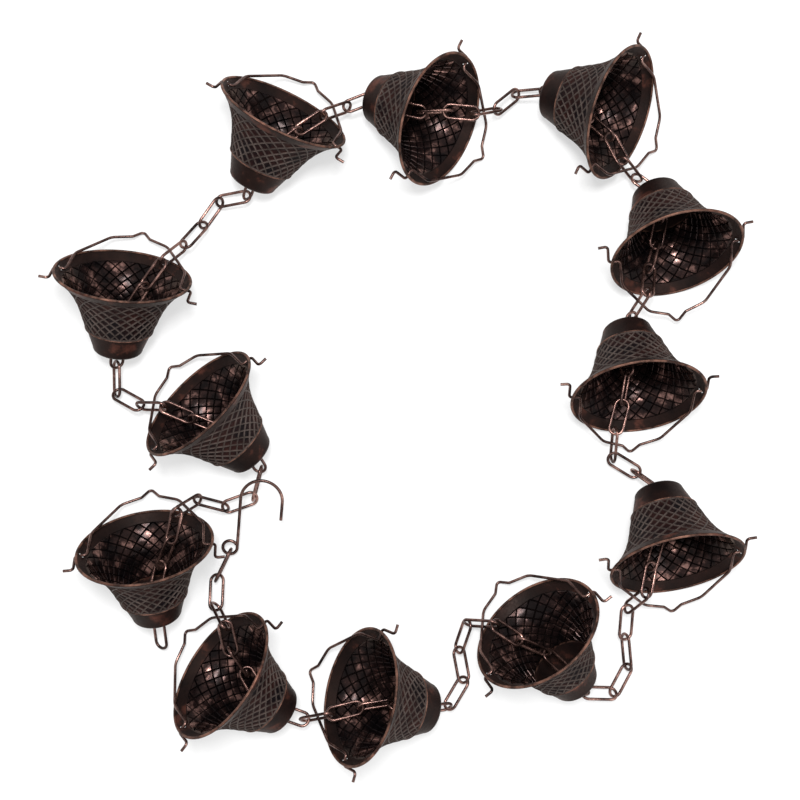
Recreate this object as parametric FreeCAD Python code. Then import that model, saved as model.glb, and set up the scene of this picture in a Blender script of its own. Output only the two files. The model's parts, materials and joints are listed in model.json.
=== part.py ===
"""A rain chain: twelve flared cups on one run of oval links, laid in an open ring on a flat surface."""
import FreeCAD, Part
import math
import os
from FreeCAD import Matrix, Vector

# Cup sizes, in millimetres: radii and heights along its own axis, from the base to the mouth
sheet = 0.8
mouth_radius = 42.0
cup_height = 52.0
bead_radius = 1.2
band_width = 6.0
band_foot = cup_height - band_width
band_foot_radius = 36.6
band_ledge = 0.12
shoulder_height = 16.0
shoulder_radius = 21.0
neck_top_radius = 18.0
neck_radius = 15.5
base_round = 3.0
drain_radius = 8.5

# Waffle: diamonds around the cup, and half rows of them between the shoulder and the rim band
diamonds = 24
half_rows = 10

# Bail: one bent wire that turns in two holes of the rim band
bail_wire = 1.8
hole_drop = 3.4
hole_height = cup_height - hole_drop
hole_clearance = 0.5
bail_inset = 2.0
bail_reach = 50.0
leg_height = 17.0
leg_inset = 0.8
shoulder_reach = 39.0
shoulder_half = 18.0
hump_foot_reach = 43.5
hump_foot_half = 5.5
bail_bend = 2.2
shoulder_bend = 9.0
tail_outset = 3.4
tail_length = 11.0
tip_length = 6.0

# Chain: oval links of round wire, and the most that one link carries the next one on
link_wire = 1.9
link_length = 24.5
link_width = 10.4
link_play = 0.35
link_slack = 1.2
link_pitch = link_length - 2 * link_wire - link_play - link_slack

# Hanger: a wire with an eye, a shank and an open hook
hanger_wire = 2.0
eye_radius = 3.5
shank_length = 34.0
hook_radius = 13.0
hook_tip = 12.0

# How the pieces lie
floor_play = 0.15
eye_lift = 0.8
chain_height = link_width / 2 + floor_play

# Where the chain takes a bail: the share of the leg's or shoulder's run before it, and the height of the
# link's middle over the wire; then half a pitch and a little more to the next link on either side
leg_share = 0.65
shoulder_share = 0.5
link_ride = 1.9
half_stride = 0.54

# The chain's way through a cup: its depth under the cup's axis at the mouth, after a leg or after a shoulder;
# the share of that depth left midway and at the neck, and of its sideways offset at the mouth and midway
leg_depth = 20.0
shoulder_depth = 27.0
mouth_lead = 1.0
midway = 0.62
midway_depth = 0.7
neck_depth = 0.2
mouth_offset = 0.7
midway_offset = 0.3

# How finely the route is stepped, and how often it is bent to centre links on bails and in drain holes
trail_step = 0.2
pitch_grain = 0.02
centring_rounds = 4

# Each cup: x, y and heading of its mouth, lift of its bail off the surface in degrees, and the place where
# the chain takes the bail: on its leg (1) or on its shoulder (2), to the right (+) or left (-) of the mouth
cup_rows = [
    (-106, -159, 142, 0, 1),
    (-22, -173, 164, 0, -1),
    (86, -134, 128, 0, -1),
    (173, -95, -82, 0, 1),
    (149.8, 7.0, -87, 0, 2),
    (174.5, 95.5, -80, 10, 1),
    (141.0, 184.0, -25, 0, 1),
    (28.9, 179.1, -27, 0, -1),
    (-67.8, 184.8, 60, 0, 1),
    (-166, 83, 80, 0, 1),
    (-120.5, 5.0, 134, 0, -1),
    (-151.4, -82.0, 95, 0, 1),
]

# The chain's run from each base to the next bail: how far it leaves the base along the cup's axis, then its
# points over the surface as x, y and height above the height at which it lies
spans = [
    (0, []),
    (0, [(35, -185, 1.5), (43, -176, 0), (44, -164, 0), (41, -152, 0), (42, -141, 2.5)]),
    (10, [(132, -180, 0), (143, -175, 0), (148, -163, 0), (147, -149, 0), (146, -135, 1), (147, -124, 4)]),
    (0, [(163, -41, 2), (152, -38, 0), (143, -34, 0)]),
    (0, []),
    (9, []),
    (12, [(76, 203, 2)]),
    (0, []),
    (14, [(-105, 137, 0), (-119, 124, 0), (-129, 110, 3)]),
    (0, [(-176, 27, 2), (-177, 16, 0), (-172, 7, 0), (-162, 3, 4)]),
    (0, [(-84, -36, 3.5), (-83.5, -46, 0), (-89, -54.5, 0), (-101, -60, 0), (-116, -59, 2)]),
    (14, [(-146, -147, 0), (-152, -163, 0)]),
]
hanger_eye = Vector(-103.4, -85.6, chain_height + eye_lift)
hanger_heading = 84.0
hanger_rise = 20.0
lead = [(-112, -107, 0), (-112, -122, 4)]


def revolved(profile):
    """The ring that a closed profile in the XZ plane sweeps about Z."""
    return Part.Face(Part.Wire(profile)).revolve(Vector(0, 0, 0), Vector(0, 0, 1), 360)


def at(radius, height):
    return Vector(radius, 0, height)


def lines(*points):
    return [Part.LineSegment(a, b).toShape() for a, b in zip(points, points[1:])]


def waffle_rows(inward):
    """Rings of lattice corners, each turned half a diamond against the last; cells grow with the radius."""
    growth = band_foot_radius / shoulder_radius
    slope = (band_foot - shoulder_height) / (band_foot_radius - shoulder_radius)
    rows = []
    for row in range(half_rows + 1):
        radius = shoulder_radius * growth ** (row / half_rows)
        height = shoulder_height + slope * (radius - shoulder_radius)
        turns = [(corner + row % 2 / 2) / diamonds for corner in range(diamonds)]
        angles = [2 * math.pi * turn for turn in turns]
        inner = radius - inward
        rows.append([Vector(inner * math.cos(a), inner * math.sin(a), height) for a in angles])
    return rows


def facet(*points):
    return Part.Face(Part.makePolygon([*points, points[0]]))


def waffle_core(inward):
    """The closed body inside the lattice: each diamond is two facets, folded in along its level diagonal."""
    rows = waffle_rows(inward)
    faces = [facet(*reversed(rows[0])), facet(*rows[-1])]
    for number, (low, high) in enumerate(zip(rows, rows[1:])):
        shift = number % 2
        for corner in range(diamonds):
            after = (corner + 1) % diamonds
            faces.append(facet(low[corner], low[after], high[(corner + shift) % diamonds]))
            faces.append(facet(high[after], high[corner], low[(corner + 1 - shift) % diamonds]))
    return Part.Solid(Part.Shell(faces))


def make_waffle():
    return waffle_core(0).cut(waffle_core(sheet))


def make_neck():
    """The neck with its rounded base, drain hole and the flat shoulder that carries the waffle."""
    centre = at(neck_radius - base_round, base_round)
    foot = neck_radius - base_round

    def corner(radius):
        angles = (0, math.pi / 4, math.pi / 2)
        points = [centre + at(radius * math.sin(a), -radius * math.cos(a)) for a in angles]
        return Part.Arc(*points).toShape()

    inner_round = base_round - sheet
    outline = lines(at(drain_radius, 0), at(foot, 0))
    outline.append(corner(base_round))
    outline += lines(
        at(neck_radius, base_round),
        at(neck_top_radius, shoulder_height - sheet),
        at(shoulder_radius + band_ledge, shoulder_height - sheet),
        at(shoulder_radius + band_ledge, shoulder_height),
        at(neck_top_radius - sheet, shoulder_height),
        at(neck_radius - sheet, base_round),
    )
    outline.append(corner(inner_round))
    outline += lines(at(foot, sheet), at(drain_radius, sheet), at(drain_radius, 0))
    return revolved(Part.__sortEdges__(outline))


def make_rim():
    """The plain band and the rolled bead at the mouth."""
    middle = mouth_radius - bead_radius
    bead_height = cup_height - bead_radius
    foot = band_foot_radius + band_ledge
    band = revolved(
        lines(
            at(foot, band_foot),
            at(middle + sheet / 2, bead_height),
            at(middle - sheet / 2, bead_height),
            at(foot - sheet, band_foot),
            at(foot, band_foot),
        )
    )
    bead = Part.makeTorus(middle, bead_radius, at(0, bead_height))
    return band.fuse(bead)


def make_cup():
    cup = make_waffle().fuse([make_rim(), make_neck()]).removeSplitter()
    start = Vector(-mouth_radius, 0, hole_height)
    hole = Part.makeCylinder(bail_wire / 2 + hole_clearance, 2 * mouth_radius, start, Vector(1, 0, 0))
    return cup.cut(hole).Solids[0]


def bent_wire(points, bends, wire):
    """A round wire along straight runs joined by tangent arcs of the given radii."""
    edges = []
    last = points[0]
    for before, corner, after, bend in zip(points, points[1:], points[2:], bends):
        back = (before - corner).normalize()
        on = (after - corner).normalize()
        half = back.getAngle(on) / 2
        run = bend / math.tan(half)
        start = corner + back * run
        end = corner + on * run
        middle = corner + (back + on).normalize() * (bend / math.sin(half) - bend)
        edges.append(Part.LineSegment(last, start).toShape())
        edges.append(Part.Arc(start, middle, end).toShape())
        last = end
    edges.append(Part.LineSegment(last, points[-1]).toShape())
    circle = Part.makeCircle(wire / 2, points[0], points[1] - points[0])
    return Part.Wire(edges).makePipeShell([Part.Wire(circle)], True, True)


def band_radius(height):
    """The outer radius of the rim band at a height."""
    foot = band_foot_radius + band_ledge
    top = mouth_radius - bead_radius + sheet / 2
    return foot + (top - foot) * (height - band_foot) / (cup_height - bead_radius - band_foot)


leg_half = band_radius(hole_height) - sheet - bail_inset - bail_wire / 2
leg_top = Vector(leg_half - leg_inset, leg_height, 0)
shoulder = Vector(shoulder_half, shoulder_reach, 0)
hump_foot = Vector(hump_foot_half, hump_foot_reach, 0)


def make_bail():
    """The bail in its own plane: the hinge along X, the hump at the end of +Y."""
    tail = band_radius(hole_height) + tail_outset
    half = [
        Vector(tail + tip_length, -tail_length, 0),
        Vector(tail, -tail_length, 0),
        Vector(tail, 0, 0),
        Vector(leg_half, 0, 0),
        leg_top,
        shoulder,
        hump_foot,
    ]
    mirrored = [Vector(-p.x, p.y, 0) for p in reversed(half)]
    points = [*half, Vector(0, bail_reach, 0), *mirrored]
    side = [bail_bend, bail_bend, bail_bend, shoulder_bend, shoulder_bend, bail_bend]
    return bent_wire(points, [*side, bail_bend, *reversed(side)], bail_wire)


def make_link():
    """One link, its length along X and its width along Y."""
    radius = (link_width - link_wire) / 2
    straight = (link_length - link_width) / 2
    a = Vector(-straight, radius, 0)
    b = Vector(straight, radius, 0)
    c = Vector(straight, -radius, 0)
    d = Vector(-straight, -radius, 0)
    wire = link_wire / 2
    pieces = [
        Part.makeCylinder(wire, 2 * straight, a, Vector(1, 0, 0)),
        Part.makeCylinder(wire, 2 * straight, d, Vector(1, 0, 0)),
    ]
    for middle, turn in ((b + c) / 2, -90), ((a + d) / 2, 90):
        bow = Part.makeTorus(radius, wire, Vector(0, 0, 0), Vector(0, 0, 1), 0, 360, 180)
        bow.rotate(Vector(0, 0, 0), Vector(0, 0, 1), turn)
        bow.translate(middle)
        pieces.append(bow)
    return pieces[0].fuse(pieces[1:]).removeSplitter().Solids[0]


def make_hanger():
    """The hanger in its own plane: the eye round the origin, the shank along +Y, the hook bent towards +X."""
    wire = hanger_wire / 2
    ring = eye_radius + wire
    top = shank_length
    far = ring + 2 * hook_radius
    crown = Vector(ring + hook_radius, top + hook_radius, 0)
    edges = [
        Part.LineSegment(Vector(ring, 0, 0), Vector(ring, top, 0)).toShape(),
        Part.Arc(Vector(ring, top, 0), crown, Vector(far, top, 0)).toShape(),
        Part.LineSegment(Vector(far, top, 0), Vector(far, top - hook_tip, 0)).toShape(),
    ]
    closing = math.asin((2 * wire + link_play) / ring)
    turns = [-a * (2 * math.pi - closing) for a in (0, 0.5, 1)]
    eye = Part.Arc(*[Vector(ring * math.cos(a), ring * math.sin(a), 0) for a in turns]).toShape()
    path = Part.Wire(Part.__sortEdges__([eye, *edges]))
    start = Vector(far, top - hook_tip, 0)
    circle = Part.makeCircle(wire, start, Vector(0, 1, 0))
    return path.makePipeShell([Part.Wire(circle)], True, True)


def frame(origin, x_axis, y_axis):
    """The placement that takes X and Y to two given directions."""
    z_axis = x_axis.cross(y_axis)
    columns = zip(*[(v.x, v.y, v.z) for v in (x_axis, y_axis, z_axis, origin)])
    return FreeCAD.Placement(Matrix(*[value for row in columns for value in row], 0, 0, 0, 1))


def rest_tilt():
    """The rise of a cup's axis when its bead and the round of its base both touch the surface."""
    across = mouth_radius - bead_radius - (neck_radius - base_round)
    along = cup_height - bead_radius - base_round
    return math.atan2(across, along) - math.asin((base_round - bead_radius) / math.hypot(across, along))


tilt = rest_tilt()


class Seat:
    """Where one cup lies, with the directions of its mouth and its bail."""

    def __init__(self, x, y, heading, lift, take):
        angle = math.radians(heading)
        self.ahead = Vector(math.cos(angle), math.sin(angle), 0)
        self.right = Vector(math.sin(angle), -math.cos(angle), 0)
        up = Vector(0, 0, 1)
        self.axis = self.ahead * math.cos(tilt) + up * math.sin(tilt)
        self.down = self.ahead * math.sin(tilt) - up * math.cos(tilt)
        base_height = (neck_radius - base_round) * math.cos(tilt) - base_round * math.sin(tilt) + base_round
        mouth_height = base_height + cup_height * math.sin(tilt)
        self.base = Vector(x, y, mouth_height) - self.axis * cup_height
        self.hinge = self.base + self.axis * hole_height
        drop = math.asin((self.hinge.z - bail_wire / 2 - floor_play) / bail_reach) - math.radians(lift)
        self.reach = self.ahead * math.cos(drop) - up * math.sin(drop)
        self.take = take

    def cup_placement(self):
        return frame(self.base, self.right, self.down)

    def bail_placement(self):
        return frame(self.hinge, self.right, self.reach)

    def inside(self, right, down, along):
        return self.base + self.right * right + self.down * down + self.axis * along

    def taken(self):
        """The middle of the bail's run that the chain takes, and the direction of the wire there."""
        on_leg = leg_top, shoulder, leg_share
        on_shoulder = shoulder, hump_foot, shoulder_share
        low, high, share = on_leg if abs(self.take) == 1 else on_shoulder
        side = math.copysign(1, self.take)
        start, end = [self.hinge + self.right * (p.x * side) + self.reach * p.y for p in (low, high)]
        run = end - start
        return start + run * share + self.right.cross(self.reach) * link_ride, run.normalize()


def route(seats, start):
    """The chain's points from the hanger's eye to its tail, with those on bails and in holes by number."""
    points = [start]
    points += [Vector(x, y, chain_height + z) for x, y, z in lead]
    takes = []
    holes = []
    for seat, (leave, span) in zip(seats, spans):
        takes.append(len(points))
        place, _ = seat.taken()
        side = (place - seat.base).dot(seat.right)
        points.append(place)
        depth = leg_depth if abs(seat.take) == 1 else shoulder_depth
        points.append(seat.inside(side * mouth_offset, depth, cup_height + mouth_lead))
        points.append(seat.inside(side * midway_offset, depth * midway_depth, cup_height * midway))
        points.append(seat.inside(0, depth * neck_depth, shoulder_height))
        holes.append(len(points))
        points.append(seat.inside(0, 0, 0))
        if leave:
            points.append(seat.inside(0, 0, -leave))
        points += [Vector(x, y, chain_height + z) for x, y, z in span]
    return points, takes, holes


def square_part(vector, along):
    """The part of a vector that is square to a direction."""
    return vector - along * (vector.dot(along) / along.dot(along))


def across(vector, along):
    return square_part(vector, along).normalize()


def stepped(trail, first, pitch):
    """Points one pitch apart along a trail, the first a share of it from the start; and the share left."""
    stops = []
    last = trail[0]
    stride = first * pitch
    for point in trail:
        if (point - last).Length >= stride:
            stops.append(point)
            last = point
            stride = pitch
    return stops, (trail[-1] - last).Length / pitch


def shared_out(points, takes):
    """The ends of equal links along a smooth route, and the number of the link that sits on each bail."""
    curve = Part.BSplineCurve()
    curve.interpolate(points)
    knots = curve.getKnots()
    marks = [knots[0], *[knots[n] for n in takes], knots[-1]]
    ends = []
    on_bail = []
    for number, (start, end) in enumerate(zip(marks, marks[1:])):
        first = 0.0 if number == 0 else half_stride
        rest = 0.0 if number == len(takes) else half_stride
        count = math.ceil(curve.length(start, end) / trail_step)
        trail = [curve.value(start + (end - start) * k / count) for k in range(count + 1)]
        trail = [Vector(p.x, p.y, max(p.z, chain_height)) for p in trail]
        stops, left = stepped(trail, first, link_pitch)
        wanted = math.ceil(len(stops) + left - rest) + rest
        low = link_pitch / 2
        high = link_pitch
        while high - low > pitch_grain:
            pitch = (low + high) / 2
            stops, left = stepped(trail, first, pitch)
            if len(stops) + left < wanted:
                high = pitch
            else:
                low = pitch
        stops, left = stepped(trail, first, high)
        if number:
            on_bail.append(len(ends) - 1)
        ends += stops
    return ends, on_bail


def nearest(place, ends):
    """The point nearest to a place on the straight lines between the links' ends."""
    found = []
    for a, b in zip(ends, ends[1:]):
        share = (place - a).dot(b - a) / (b - a).dot(b - a)
        found.append(a + (b - a) * min(max(share, 0), 1))
    return min(found, key=place.distanceToPoint)


def link_ends(points, takes, holes):
    """Where each link meets the next, with links centred in the drain holes and on the bails."""
    bent = list(points)
    for _ in range(centring_rounds):
        ends, on_bail = shared_out(bent, takes)
        for number, take in zip(on_bail, takes):
            middle = (ends[number] + ends[number + 1]) / 2
            bent[take] += square_part(points[take] - middle, ends[number + 1] - ends[number])
        for hole in holes:
            bent[hole] += points[hole] - nearest(points[hole], ends)
    return ends, on_bail


def turned(vector, about, angle):
    return FreeCAD.Rotation(about, math.degrees(angle)).multVec(vector)


def lay_links(seats, hanger):
    """The placements of all links, with each link turned about a quarter against the last."""
    start = hanger.multVec(Vector(0, (link_wire + link_play) / 2 - eye_radius - hanger_wire / 2, 0))
    ends, on_bail = link_ends(*route(seats, start))
    along = [(b - a).normalize() for a, b in zip(ends, ends[1:])]
    fixed = {0: across(hanger.Rotation.multVec(Vector(1, 0, 0)), along[0])}
    for number, seat in zip(on_bail, seats):
        fixed[number] = across(seat.taken()[1], along[number])
    normals = []
    for first, last in zip(fixed, [*list(fixed)[1:], len(along)]):
        carried = [fixed[first]]
        for direction in along[first + 1 : last + 1]:
            carried.append(across(carried[-1], direction))
        count = last - first
        quarter = math.pi / 2
        if last in fixed:
            end = fixed[last]
            away = math.atan2(along[last].dot(carried[-1].cross(end)), carried[-1].dot(end))
            left = (away - quarter * count + quarter) % math.pi - quarter
            quarter += left / count
        normals += [turned(carried[k], along[first + k], quarter * k) for k in range(count)]
    middles = [(a + b) / 2 for a, b in zip(ends, ends[1:])]
    placements = [frame(m, t, n.cross(t)) for m, t, n in zip(middles, along, normals)]
    return placements, [0, *on_bail, len(placements)]


def hanger_placement():
    angle = math.radians(hanger_heading)
    rise = math.radians(hanger_rise)
    ahead = Vector(math.cos(angle), math.sin(angle), 0)
    shank = ahead * math.cos(rise) + Vector(0, 0, math.sin(rise))
    return frame(hanger_eye, Vector(math.sin(angle), -math.cos(angle), 0), shank)


def placed(shape, placement):
    copy = shape.copy()
    copy.Placement = placement
    return copy


def laid_nodes():
    """Every node's shape by name, where the rows above lay it."""
    seats = [Seat(*row) for row in cup_rows]
    cup = make_cup()
    bail = make_bail()
    link = make_link()
    hanger = hanger_placement()
    nodes = {"hanger": placed(make_hanger(), hanger)}
    for number, seat in enumerate(seats, 1):
        nodes[f"cup_{number:02d}"] = placed(cup, seat.cup_placement())
        nodes[f"bail_{number:02d}"] = placed(bail, seat.bail_placement())
    placements, firsts = lay_links(seats, hanger)
    for number, (first, last) in enumerate(zip(firsts, firsts[1:])):
        nodes[f"links_{number:02d}"] = Part.Compound([placed(link, p) for p in placements[first:last]])
    return nodes


def to_centre(nodes):
    """The move that brings the middle of the layout over the origin."""
    box = Part.Compound(list(nodes.values())).optimalBoundingBox(False)
    return Vector(-box.Center.x, -box.Center.y, 0)


def main():
    os.makedirs("parts", exist_ok=True)
    nodes = laid_nodes()
    move = to_centre(nodes)
    for name, shape in nodes.items():
        shape.translate(move)
        shape.exportStep(f"parts/{name}.step")


main()
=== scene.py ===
# %% [markdown]
# # A rain chain laid in a ring
# A rain chain leads water from a gutter to the ground. This one is a run of oval links with twelve flared
# cups on it, each carried by a bent wire bail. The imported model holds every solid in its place, and this
# lesson dresses it: the cups get their pressed waffle wall, and all the metal gets its rubbed bronze finish.

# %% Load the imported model
import json
import math

import bpy
from mathutils import Matrix, Vector


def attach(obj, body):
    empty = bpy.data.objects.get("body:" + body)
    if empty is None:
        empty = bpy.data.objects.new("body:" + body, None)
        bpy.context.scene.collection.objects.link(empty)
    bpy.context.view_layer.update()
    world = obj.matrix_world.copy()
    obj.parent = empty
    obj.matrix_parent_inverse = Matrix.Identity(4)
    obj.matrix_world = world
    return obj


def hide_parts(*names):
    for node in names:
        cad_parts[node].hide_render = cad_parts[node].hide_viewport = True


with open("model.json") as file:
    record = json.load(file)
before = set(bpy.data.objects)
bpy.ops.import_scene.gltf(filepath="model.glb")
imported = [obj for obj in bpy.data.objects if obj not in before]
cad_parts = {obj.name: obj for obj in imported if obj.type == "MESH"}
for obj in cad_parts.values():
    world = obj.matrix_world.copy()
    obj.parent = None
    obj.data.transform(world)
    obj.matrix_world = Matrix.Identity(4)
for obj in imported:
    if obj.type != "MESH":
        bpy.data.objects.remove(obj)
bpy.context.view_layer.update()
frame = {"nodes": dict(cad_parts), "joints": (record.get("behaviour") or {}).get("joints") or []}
scene = bpy.context.scene
scene.view_settings.view_transform = "Standard"
MM = 0.001

# %% [markdown]
# ## The camera
# The ring is seen from almost straight above, as laid out on a table, from a point a little below its
# middle. The camera's axes are worked out one by one, because a track constraint gives no steady "up" when
# it looks down.

# %% Make the camera
VIEW_AIM = Vector((0.001, 0.001, 0.038))
VIEW_FROM = VIEW_AIM + Vector((-0.015, -0.035, 0.762))
VIEW_WIDTH = math.radians(35.5)
camera_data = bpy.data.cameras.new("overhead_camera")
camera_data.angle = VIEW_WIDTH
camera = bpy.data.objects.new("overhead_camera", camera_data)
scene.collection.objects.link(camera)
backward = (VIEW_FROM - VIEW_AIM).normalized()
rightward = Vector((0, 1, 0)).cross(backward).normalized()
upward = backward.cross(rightward)
turn = Matrix((rightward, upward, backward)).transposed()
camera.matrix_world = Matrix.Translation(VIEW_FROM) @ turn.to_4x4()
scene.camera = camera
print("camera at", tuple(round(c, 3) for c in VIEW_FROM))

# %% [markdown]
# ## Nodes for the finishes
# Every finish is a small node tree. A few helpers keep the trees readable: each one adds a node, wires its
# inputs and hands back its output. Patterns read Object coordinates, so they stay on the metal as it moves.


# %% Helpers for node trees
def new_finish(name):
    material = bpy.data.materials.new(name)
    material.use_nodes = True
    tree = material.node_tree
    return material, tree, tree.nodes["Principled BSDF"]


def add_node(tree, kind, inputs=(), **settings):
    node = tree.nodes.new(kind)
    for key, value in settings.items():
        setattr(node, key, value)
    for socket, value in dict(inputs).items():
        if isinstance(value, bpy.types.NodeSocket):
            tree.links.new(value, node.inputs[socket])
        else:
            node.inputs[socket].default_value = value
    return node


def add_ramp(tree, factor, stops):
    node = add_node(tree, "ShaderNodeValToRGB", {"Fac": factor})
    ramp = node.color_ramp
    while len(ramp.elements) < len(stops):
        ramp.elements.new(0.5)
    for element, (place, colour) in zip(ramp.elements, stops):
        element.position = place
        element.color = (*colour, 1)
    return node.outputs["Color"]


def mixed(tree, factor, first, second):
    node = add_node(tree, "ShaderNodeMix", data_type="RGBA")
    for socket, value in ((0, factor), (6, first), (7, second)):
        if isinstance(value, bpy.types.NodeSocket):
            tree.links.new(value, node.inputs[socket])
        else:
            node.inputs[socket].default_value = value if socket == 0 else (*value, 1)
    return node.outputs[2]


def number(tree, operation, first, second):
    node = add_node(tree, "ShaderNodeMath", {0: first, 1: second}, operation=operation)
    return node.outputs["Value"]


def noise(tree, scale, detail=4.0, roughness=0.6):
    place = add_node(tree, "ShaderNodeTexCoord").outputs["Object"]
    settings = {"Vector": place, "Scale": scale, "Detail": detail, "Roughness": roughness}
    return add_node(tree, "ShaderNodeTexNoise", settings).outputs["Fac"]


def bumped(tree, shader, height, distance, strength=0.6):
    settings = {"Height": height, "Distance": distance, "Strength": strength}
    bump = add_node(tree, "ShaderNodeBump", settings)
    tree.links.new(bump.outputs["Normal"], shader.inputs["Normal"])


# %% [markdown]
# ## Bronze on the wires
# The links, bails and hanger are drawn wire with a dark bronze coat. It is worn to a warm copper brown in
# patches, and has fine pits. Broad noise moves the colour, fine noise breaks up the gloss.

# %% Make the wire finish
BRONZE_DARK = (0.010, 0.006, 0.006)
BRONZE_BROWN = (0.100, 0.054, 0.045)
BRONZE_WORN = (0.36, 0.205, 0.170)
BAIL_WORN = (0.30, 0.185, 0.155)
WIRE_PATCHES = 95.0
WIRE_PITS = 900.0
PIT_DEPTH = 0.06 * MM


def make_wire_finish(name, worn):
    material, tree, shader = new_finish(name)
    patches = noise(tree, WIRE_PATCHES)
    colour = add_ramp(tree, patches, [(0.30, BRONZE_DARK), (0.52, BRONZE_BROWN), (0.74, worn)])
    tree.links.new(colour, shader.inputs["Base Color"])
    pits = noise(tree, WIRE_PITS, detail=3.0)
    gloss = add_ramp(tree, pits, [(0.3, (0.18,) * 3), (0.7, (0.34,) * 3)])
    tree.links.new(gloss, shader.inputs["Roughness"])
    shader.inputs["Metallic"].default_value = 0.85
    bumped(tree, shader, pits, PIT_DEPTH)
    return material


wire_finishes = {
    "links": make_wire_finish("bronze_link_wire", BRONZE_WORN),
    "bail": make_wire_finish("bronze_bail_wire", BAIL_WORN),
}
wire_finishes["hanger"] = wire_finishes["links"]
for name, node in frame["nodes"].items():
    kind = name.split("_")[0]
    if kind in wire_finishes:
        node.data.materials.clear()
        node.data.materials.append(wire_finishes[kind])
print("wire nodes dressed", sum(not name.startswith("cup") for name in frame["nodes"]))

# %% [markdown]
# ## The cup's finishes
# The waffle wall has two looks. Outside, the thin ridges are rubbed grey brown, wear together with a painted
# highlight, and the cells are almost black. Inside, some pressed pads are pinkish copper, partly copper wear
# and partly a painted glint. A "pad" attribute on the wall's corners, made with the mesh below, says where
# the pads are, and "rubbed" marks edges that hands polish.

# %% Make the outside of the waffle
DARK_CELL = (0.004, 0.003, 0.004)
RED_CELL = (0.030, 0.010, 0.008)
RIDGE_DARK = (0.026, 0.020, 0.018)
# Rubbed ridges: wear together with a painted highlight on the raised lines.
RIDGE_RUBBED_HIGHLIGHT = (0.090, 0.069, 0.061)
COPPER_SHEEN = (1.0, 0.80, 0.70)
SHEET_GRAIN = 700.0
CELL_PATCHES = 60.0
RIDGE_PATCHES = 140.0


def roughen(tree, shader, roughness, metallic, shine, relief):
    """Fine grain in the gloss and the relief, over a copper sheen."""
    smoothest, roughest = roughness
    grain = noise(tree, SHEET_GRAIN, detail=3.0)
    gloss = add_ramp(tree, grain, [(0.3, (smoothest,) * 3), (0.7, (roughest,) * 3)])
    tree.links.new(gloss, shader.inputs["Roughness"])
    shader.inputs["Metallic"].default_value = metallic
    shader.inputs["Specular IOR Level"].default_value = shine
    shader.inputs["Specular Tint"].default_value = (*COPPER_SHEEN, 1)
    bumped(tree, shader, grain, relief)


outside_finish, tree, shader = new_finish("bronze_waffle_outside")
pad = add_node(tree, "ShaderNodeAttribute", attribute_name="pad").outputs["Fac"]
cell = add_ramp(tree, noise(tree, CELL_PATCHES), [(0.40, DARK_CELL), (0.72, RED_CELL)])
# Noise lightens some ridges to grey brown, as rubbed wear and a painted highlight; the cells stay almost
# black.
ridge = add_ramp(tree, noise(tree, RIDGE_PATCHES), [(0.3, RIDGE_DARK), (0.7, RIDGE_RUBBED_HIGHLIGHT)])
tree.links.new(mixed(tree, pad, ridge, cell), shader.inputs["Base Color"])
roughen(tree, shader, roughness=(0.44, 0.64), metallic=0.1, shine=0.08, relief=0.12 * MM)

# %% Make the inside of the waffle
GROOVE_DARK = (0.006, 0.005, 0.006)
GROOVE_BROWN = (0.020, 0.013, 0.012)
PAD_DARK = (0.006, 0.0045, 0.005)
PAD_BROWN = (0.024, 0.013, 0.012)
# Pinkish copper on the pads: partly copper wear, partly a painted glint standing in for the lamp's
# reflection.
PAD_COPPER_GLINT = (0.36, 0.200, 0.170)
PAD_PATCHES = 110.0
inside_finish, tree, shader = new_finish("bronze_waffle_inside")
pad = add_node(tree, "ShaderNodeAttribute", attribute_name="pad").outputs["Fac"]
# Noise picks the pads that get the painted glint; the grooves between them stay dark.
pad_glint_stops = [(0.40, PAD_DARK), (0.56, PAD_BROWN), (0.76, PAD_COPPER_GLINT)]
copper = add_ramp(tree, noise(tree, PAD_PATCHES), pad_glint_stops)
groove = add_ramp(tree, noise(tree, CELL_PATCHES), [(0.4, GROOVE_DARK), (0.7, GROOVE_BROWN)])
tree.links.new(mixed(tree, pad, groove, copper), shader.inputs["Base Color"])
roughen(tree, shader, roughness=(0.14, 0.26), metallic=0.6, shine=0.15, relief=0.05 * MM)

# %% Make the plain metal of the neck and the rim
PLAIN_DARK = (0.006, 0.004, 0.004)
PLAIN_BROWN = (0.014, 0.007, 0.006)
PLAIN_RED = (0.105, 0.036, 0.025)
RUBBED_EDGE = (0.28, 0.14, 0.10)
STAIN_PATCHES = 55.0
RUB_PATCHES = 130.0
plain_finish, tree, shader = new_finish("bronze_plain")
rubbed = add_node(tree, "ShaderNodeAttribute", attribute_name="rubbed").outputs["Fac"]
sheet_stops = [(0.34, PLAIN_DARK), (0.56, PLAIN_BROWN), (0.74, PLAIN_RED)]
sheet_colour = add_ramp(tree, noise(tree, STAIN_PATCHES, detail=5.0), sheet_stops)
patches = add_ramp(tree, noise(tree, RUB_PATCHES), [(0.40, (0.05,) * 3), (0.68, (0.65,) * 3)])
wear = number(tree, "MULTIPLY", rubbed, patches)
tree.links.new(mixed(tree, wear, sheet_colour, RUBBED_EDGE), shader.inputs["Base Color"])
roughen(tree, shader, roughness=(0.38, 0.56), metallic=0.2, shine=0.10, relief=0.10 * MM)
print("finishes", outside_finish.name, inside_finish.name, plain_finish.name)

# %% [markdown]
# ## One cup, modelled once
# A cup is pressed from thin sheet. Its wall is a cone with a lattice of diamonds. A neat way to get
# diamonds is to start with rows of plain squares, poke each one into four triangles, and dissolve the
# squares' own edges: the diagonals that remain are the lattice. Insetting each diamond then leaves a
# narrow ridge around a pad that sinks inwards.


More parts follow.
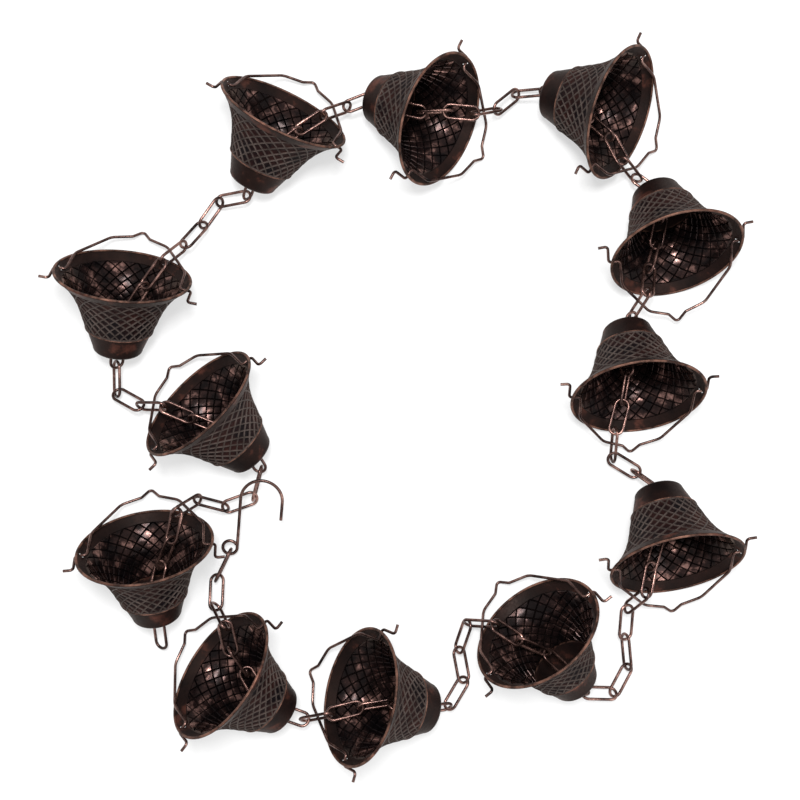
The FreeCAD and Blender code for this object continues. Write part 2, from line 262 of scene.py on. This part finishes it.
# %% Sizes of the wall, and helpers to select and shape it
SHOULDER_HEIGHT = 16.0 * MM
SHOULDER_RADIUS = 21.0 * MM
BAND_FOOT = 46.0 * MM
BAND_FOOT_RADIUS = 36.6 * MM
WALL_HEIGHT = BAND_FOOT - SHOULDER_HEIGHT
WALL_SPREAD = BAND_FOOT_RADIUS - SHOULDER_RADIUS
DIAMONDS = 24
HALF_ROWS = 10
FLARE = 0.8
HAIR = 0.005 * MM


def deselect_all():
    bpy.ops.object.select_all(action="DESELECT")


def pick(chosen):
    """Select, in edit mode, the elements that a test of each one's place picks."""
    bpy.ops.mesh.select_all(action="DESELECT")
    bpy.ops.object.mode_set(mode="OBJECT")
    chosen(bpy.context.object.data)
    bpy.ops.object.mode_set(mode="EDIT")


def row_place(row):
    """The radius and height of one ring of the lattice: its cells grow with the radius."""
    radius = SHOULDER_RADIUS * (BAND_FOOT_RADIUS / SHOULDER_RADIUS) ** (row / HALF_ROWS)
    share = (radius - SHOULDER_RADIUS) / WALL_SPREAD
    return radius, SHOULDER_HEIGHT + share**FLARE * WALL_HEIGHT


def set_ring(row, radius, height):
    """Find a ring of corners by its height, and move it to its place in the flare."""
    new_radius, new_height = row_place(row)

    def choose_ring(mesh):
        for vertex in mesh.vertices:
            vertex.select = abs(vertex.co.z - height) < HAIR

    bpy.ops.mesh.select_mode(type="VERT")
    pick(choose_ring)
    share = new_radius / radius
    bpy.ops.transform.resize(value=(share, share, 1), center_override=(0, 0, 0))
    bpy.ops.transform.translate(value=(0, 0, new_height - height))


# %% Roll up the wall as rows of squares
deselect_all()
bpy.ops.mesh.primitive_cone_add(
    vertices=DIAMONDS,
    radius1=SHOULDER_RADIUS,
    radius2=BAND_FOOT_RADIUS,
    depth=WALL_HEIGHT,
    end_fill_type="NOTHING",
    location=(0, 0, SHOULDER_HEIGHT + WALL_HEIGHT / 2),
)
wall = bpy.context.object
wall.name = "waffle_wall"
bpy.ops.object.transform_apply(location=True, rotation=True, scale=True)
bpy.ops.object.mode_set(mode="EDIT")
bpy.ops.mesh.select_mode(type="EDGE")
for row in range(2, HALF_ROWS, 2):
    bpy.ops.mesh.select_all(action="SELECT")
    height = row_place(row)[1]
    bpy.ops.mesh.bisect(plane_co=(0, 0, height), plane_no=(0, 0, 1))
    share = (height - SHOULDER_HEIGHT) / WALL_HEIGHT
    set_ring(row, SHOULDER_RADIUS + share * WALL_SPREAD, height)
    bpy.ops.mesh.select_mode(type="EDGE")
bpy.ops.object.mode_set(mode="OBJECT")
square_edges = {tuple(sorted(edge.vertices)) for edge in wall.data.edges}
print("squares", len(wall.data.polygons))

# %% Turn the squares into diamonds
bpy.ops.object.mode_set(mode="EDIT")
bpy.ops.mesh.select_all(action="SELECT")
bpy.ops.mesh.poke()

for row in range(1, HALF_ROWS, 2):
    (low_radius, low_height), (high_radius, high_height) = row_place(row - 1), row_place(row + 1)
    centre_radius = (low_radius + high_radius) / 2 * math.cos(math.pi / DIAMONDS)
    set_ring(row, centre_radius, (low_height + high_height) / 2)


def choose_square_edges(mesh):
    rims = (SHOULDER_HEIGHT, BAND_FOOT)
    for edge in mesh.edges:
        heights = [mesh.vertices[v].co.z for v in edge.vertices]
        on_rim = any(all(abs(h - rim) < HAIR for h in heights) for rim in rims)
        edge.select = tuple(sorted(edge.vertices)) in square_edges and not on_rim


bpy.ops.mesh.select_mode(type="EDGE")
pick(choose_square_edges)
bpy.ops.mesh.dissolve_edges(use_verts=False)
bpy.ops.object.mode_set(mode="OBJECT")
print("diamonds and half diamonds", len(wall.data.polygons))

# %% Press a pad into each diamond
RIDGE = 0.18 * MM
PAD_SLOPE = 0.58 * MM
PAD_DEPTH = 0.75 * MM
PAD_ROUND = 0.4 * MM
PAD_CROWN = 0.04 * MM
bpy.ops.object.mode_set(mode="EDIT")
bpy.ops.mesh.select_mode(type="FACE")
bpy.ops.mesh.select_all(action="SELECT")
bpy.ops.mesh.normals_make_consistent(inside=False)
bpy.ops.object.mode_set(mode="OBJECT")
first_face = wall.data.polygons[0]
faces_in = first_face.normal.xy.dot(first_face.center.xy) < 0
bpy.ops.object.mode_set(mode="EDIT")
if faces_in:
    bpy.ops.mesh.flip_normals()
bpy.ops.mesh.inset(thickness=RIDGE, depth=0, use_individual=True)
bpy.ops.mesh.inset(thickness=PAD_SLOPE, depth=-PAD_DEPTH, use_individual=True)
bpy.ops.object.mode_set(mode="OBJECT")
wall.data.attributes.new("pad", "FLOAT", "POINT")


def mark_pads(mesh):
    pads = {corner for face in mesh.polygons if face.select for corner in face.vertices}
    for corner in pads:
        mesh.attributes["pad"].data[corner].value = 1.0


mark_pads(wall.data)
bpy.ops.object.mode_set(mode="EDIT")
bpy.ops.mesh.inset(thickness=PAD_ROUND, depth=-PAD_CROWN, use_individual=True)
bpy.ops.object.mode_set(mode="OBJECT")
mark_pads(wall.data)
print("wall faces", len(wall.data.polygons))

# %% Give the wall its thickness
WALL_SHEET = 0.5 * MM
wall.data.materials.append(outside_finish)
wall.data.materials.append(inside_finish)
shell = wall.modifiers.new("sheet", "SOLIDIFY")
shell.thickness = WALL_SHEET
shell.offset = -1
shell.use_even_offset = True
shell.material_offset = 1
bpy.ops.object.modifier_apply(modifier=shell.name)
print("wall with thickness", len(wall.data.polygons), "faces")

# %% [markdown]
# ## The neck and the rim
# Both are round parts that a spinner would turn over a form. Here a circle is drawn out ring by ring along
# a profile, which is the same motion: each step lifts the open edge and opens or closes it.


# %% Draw out a round part along its profile
ROUND_STEPS = 96
MERGE = 0.002 * MM


def draw_out(name, profile):
    """A round part whose profile, a loop of radius and height, is drawn out from its first ring."""
    deselect_all()
    first_radius, first_height = profile[0]
    bpy.ops.mesh.primitive_circle_add(
        vertices=ROUND_STEPS,
        radius=first_radius,
        fill_type="NOTHING",
        location=(0, 0, first_height),
    )
    piece = bpy.context.object
    piece.name = name
    bpy.ops.object.transform_apply(location=True, rotation=True, scale=True)
    bpy.ops.object.mode_set(mode="EDIT")
    bpy.ops.mesh.select_mode(type="EDGE")
    bpy.ops.mesh.select_all(action="SELECT")
    for (radius, height), (new_radius, new_height) in zip(profile, profile[1:] + profile[:1]):
        bpy.ops.mesh.extrude_region_move(TRANSFORM_OT_translate={"value": (0, 0, new_height - height)})
        share = new_radius / radius
        bpy.ops.transform.resize(value=(share, share, 1), center_override=(0, 0, 0))
    bpy.ops.mesh.select_all(action="SELECT")
    bpy.ops.mesh.remove_doubles(threshold=MERGE)
    bpy.ops.mesh.normals_make_consistent(inside=False)
    bpy.ops.object.mode_set(mode="OBJECT")
    piece.data.materials.append(plain_finish)
    return piece


def arc(radius, height, size, start, stop, steps):
    """Points of a round in the profile, with angles in degrees from straight outwards."""
    angles = [math.radians(start + (stop - start) * step / steps) for step in range(steps + 1)]
    return [(radius + size * math.cos(a), height + size * math.sin(a)) for a in angles]


# %% Draw out the neck
SHEET = 0.8 * MM
NECK_TOP_RADIUS = 19.8 * MM
NECK_RADIUS = 15.5 * MM
BASE_ROUND = 3.0 * MM
DRAIN_RADIUS = 8.5 * MM
LEDGE = 0.12 * MM
EDGE_ROUND = 0.4 * MM
foot = NECK_RADIUS - BASE_ROUND
lip = DRAIN_RADIUS + SHEET / 2
hollow = NECK_TOP_RADIUS + EDGE_ROUND
hollow_height = SHOULDER_HEIGHT - SHEET - EDGE_ROUND
shoulder_edge = SHOULDER_RADIUS + LEDGE - EDGE_ROUND
neck_profile = arc(lip, SHEET / 2, SHEET / 2, 90, 270, steps=6)
neck_profile += arc(foot, BASE_ROUND, BASE_ROUND, -90, 0, steps=7)
neck_profile += arc(hollow, hollow_height, EDGE_ROUND, 180, 90, steps=3)
neck_profile += arc(shoulder_edge, SHOULDER_HEIGHT - SHEET / 2, SHEET / 2, -90, 90, steps=6)
neck_profile += [(NECK_TOP_RADIUS - SHEET, SHOULDER_HEIGHT), (NECK_RADIUS - SHEET, BASE_ROUND)]
neck_profile += arc(foot, BASE_ROUND, BASE_ROUND - SHEET, 0, -90, steps=5)
neck = draw_out("neck", neck_profile)
print("neck faces", len(neck.data.polygons))

# %% Find how a cup rests on its bead and its base
MOUTH_RADIUS = 42.0 * MM
CUP_HEIGHT = 52.0 * MM
BEAD_RADIUS = 1.2 * MM
rest_across = MOUTH_RADIUS - BEAD_RADIUS - foot
rest_along = CUP_HEIGHT - BEAD_RADIUS - BASE_ROUND
rest_tilt = math.atan2(rest_across, rest_along)
rest_tilt -= math.asin((BASE_ROUND - BEAD_RADIUS) / math.hypot(rest_across, rest_along))
print("a resting cup's axis rises by", round(math.degrees(rest_tilt), 2), "degrees")

# %% Draw out the rim and its rolled bead
ROLL_RADIUS = 0.85 * MM
ROLL_SHARE = 0.95
BAND_SPREAD = 20.0
tighter = (BEAD_RADIUS - ROLL_RADIUS) * ROLL_SHARE
roll_middle = MOUTH_RADIUS - BEAD_RADIUS + tighter * math.cos(rest_tilt)
roll_height = CUP_HEIGHT - BEAD_RADIUS + tighter * math.sin(rest_tilt)
band_outside = (BAND_FOOT_RADIUS + LEDGE, BAND_FOOT)
band_inside = (BAND_FOOT_RADIUS + LEDGE - SHEET, BAND_FOOT)
lean = math.atan2(BAND_FOOT - roll_height, BAND_FOOT_RADIUS + LEDGE - SHEET / 2 - roll_middle)
meets_outside = math.degrees(lean) + BAND_SPREAD
meets_inside = math.degrees(lean) + 360 - BAND_SPREAD
rim_profile = [band_inside, band_outside]
rim_profile += arc(roll_middle, roll_height, ROLL_RADIUS, meets_outside, meets_inside, steps=16)
rim = draw_out("rim", rim_profile)
print("rim faces", len(rim.data.polygons))

# %% Drill the two holes for the bail
HINGE_HEIGHT = 48.6 * MM
BAIL_HOLE = 1.4 * MM
DRILL_SIDES = 24
deselect_all()
bpy.ops.mesh.primitive_cylinder_add(
    vertices=DRILL_SIDES,
    radius=BAIL_HOLE,
    depth=2 * MOUTH_RADIUS,
    location=(0, 0, HINGE_HEIGHT),
    rotation=(0, math.pi / 2, 0),
)
drill = bpy.context.object
cut = rim.modifiers.new("bail_holes", "BOOLEAN")
cut.operation = "DIFFERENCE"
cut.object = drill
cut.solver = "EXACT"
bpy.context.view_layer.objects.active = rim
bpy.ops.object.modifier_apply(modifier=cut.name)
bpy.data.objects.remove(drill)
print("rim with holes", len(rim.data.polygons), "faces")

# %% [markdown]
# ## Rubbed edges
# Bronze paint thins first where a cup is handled: along the bead at the mouth and on the shoulder step. The
# "rubbed" attribute marks those rings, and the plain finish brightens there.


# %% Mark the rubbed edges
def mark_rubbed(mesh, test):
    marks = mesh.attributes.new("rubbed", "FLOAT", "POINT")
    for vertex in mesh.vertices:
        radius = math.hypot(vertex.co.x, vertex.co.y)
        marks.data[vertex.index].value = float(test(radius, vertex.co.z))


mark_rubbed(neck.data, lambda radius, height: radius > shoulder_edge)
mark_rubbed(rim.data, lambda radius, height: height > roll_height)

# %% Join the three into one cup
SMOOTH_ANGLE = 35
deselect_all()
for piece in (wall, neck, rim):
    piece.select_set(True)
bpy.context.view_layer.objects.active = wall
bpy.ops.object.join()
pattern = bpy.context.object
pattern.name = "cup_pattern"
bpy.ops.object.shade_smooth_by_angle(angle=math.radians(SMOOTH_ANGLE))
print("cup faces", len(pattern.data.polygons), "materials", [m.name for m in pattern.data.materials])

# %% [markdown]
# ## Twelve cups on the chain
# Each bail's hinge says where its cup lies: the hinge runs straight across the mouth, and the cup rests on
# its bead and on the round of its base, so its axis rises by one fixed angle. The pattern is copied to
# each place, with the place written into the copy's own mesh.

# %% Lay the twelve cups
up = Vector((0, 0, 1))
for joint in frame["joints"]:
    if not joint["child"].startswith("bail"):
        continue
    node = joint["child"].replace("bail", "cup")
    across = Vector(joint["axis"]).normalized()
    ahead = up.cross(across)
    axis = ahead * math.cos(rest_tilt) + up * math.sin(rest_tilt)
    base = Vector(joint["pos_m"]) - axis * HINGE_HEIGHT
    place = Matrix((across, axis.cross(across), axis)).transposed().to_4x4()
    mesh = pattern.data.copy()
    mesh.transform(Matrix.Translation(base) @ place)
    cup = bpy.data.objects.new("pressed_" + node, mesh)
    scene.collection.objects.link(cup)
    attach(cup, "root")
    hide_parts(node)
    heights = [vertex.co.z / MM for vertex in mesh.vertices]
    print(cup.name, "from", round(min(heights), 2), "to", round(max(heights), 2), "mm high")
bpy.data.objects.remove(pattern)

# %% [markdown]
# ## Floor and light
# A white sweep with a faint shadow, as in a catalogue picture. The floor is white to the camera and pale to
# the light, and one broad lamp near the camera gives the pads real glints, on top of the glint painted into
# the pads' colour.


# %% Make the floor
def seen_directly(tree):
    """One for rays from the camera, from a mirror or through glass, and nought for the soft light."""
    path = add_node(tree, "ShaderNodeLightPath")
    seen = number(tree, "MAXIMUM", path.outputs["Is Camera Ray"], path.outputs["Is Glossy Ray"])
    return number(tree, "MAXIMUM", seen, path.outputs["Is Transmission Ray"])


FLOOR_SIZE = 6.0
FLOOR_DROP = 0.05 * MM
PAPER_WHITE = (0.90, 0.90, 0.90, 1)
LIGHT_WHITE = (1, 1, 1, 1)
PAPER_GLOW = 0.55
deselect_all()
bpy.ops.mesh.primitive_plane_add(size=FLOOR_SIZE, location=(0, 0, -FLOOR_DROP))
floor = bpy.context.object
floor.name = "white_floor"
material = bpy.data.materials.new("white_paper")
material.use_nodes = True
tree = material.node_tree
tree.nodes.clear()
paper = add_node(tree, "ShaderNodeBsdfDiffuse", {"Color": PAPER_WHITE}).outputs["BSDF"]
glow = add_node(tree, "ShaderNodeEmission", {"Color": LIGHT_WHITE}).outputs["Emission"]
share = number(tree, "MULTIPLY", seen_directly(tree), PAPER_GLOW)
both = add_node(tree, "ShaderNodeMixShader", {0: share, 1: paper, 2: glow}).outputs["Shader"]
add_node(tree, "ShaderNodeOutputMaterial", {"Surface": both})
floor.data.materials.append(material)
print("floor", FLOOR_SIZE, "m")


# %% Set the lights
def add_lamp(name, place, size, power):
    data = bpy.data.lights.new(name, "AREA")
    data.energy = power
    data.size = size
    lamp = bpy.data.objects.new(name, data)
    lamp.location = place
    lamp.rotation_mode = "QUATERNION"
    lamp.rotation_quaternion = (-Vector(place)).to_track_quat("-Z", "Y")
    scene.collection.objects.link(lamp)


add_lamp("key_softbox", place=(-0.05, 0.20, 1.15), size=0.28, power=14.0)
add_lamp("side_softbox", place=(0.70, -0.35, 0.90), size=0.50, power=4.0)
WORLD_LIGHT = 0.55
world = bpy.data.worlds.new("studio_air")
world.use_nodes = True
tree = world.node_tree
air = tree.nodes["Background"]
air.inputs["Color"].default_value = LIGHT_WHITE
strength = number(tree, "MAXIMUM", seen_directly(tree), WORLD_LIGHT)
tree.links.new(strength, air.inputs["Strength"])
scene.world = world
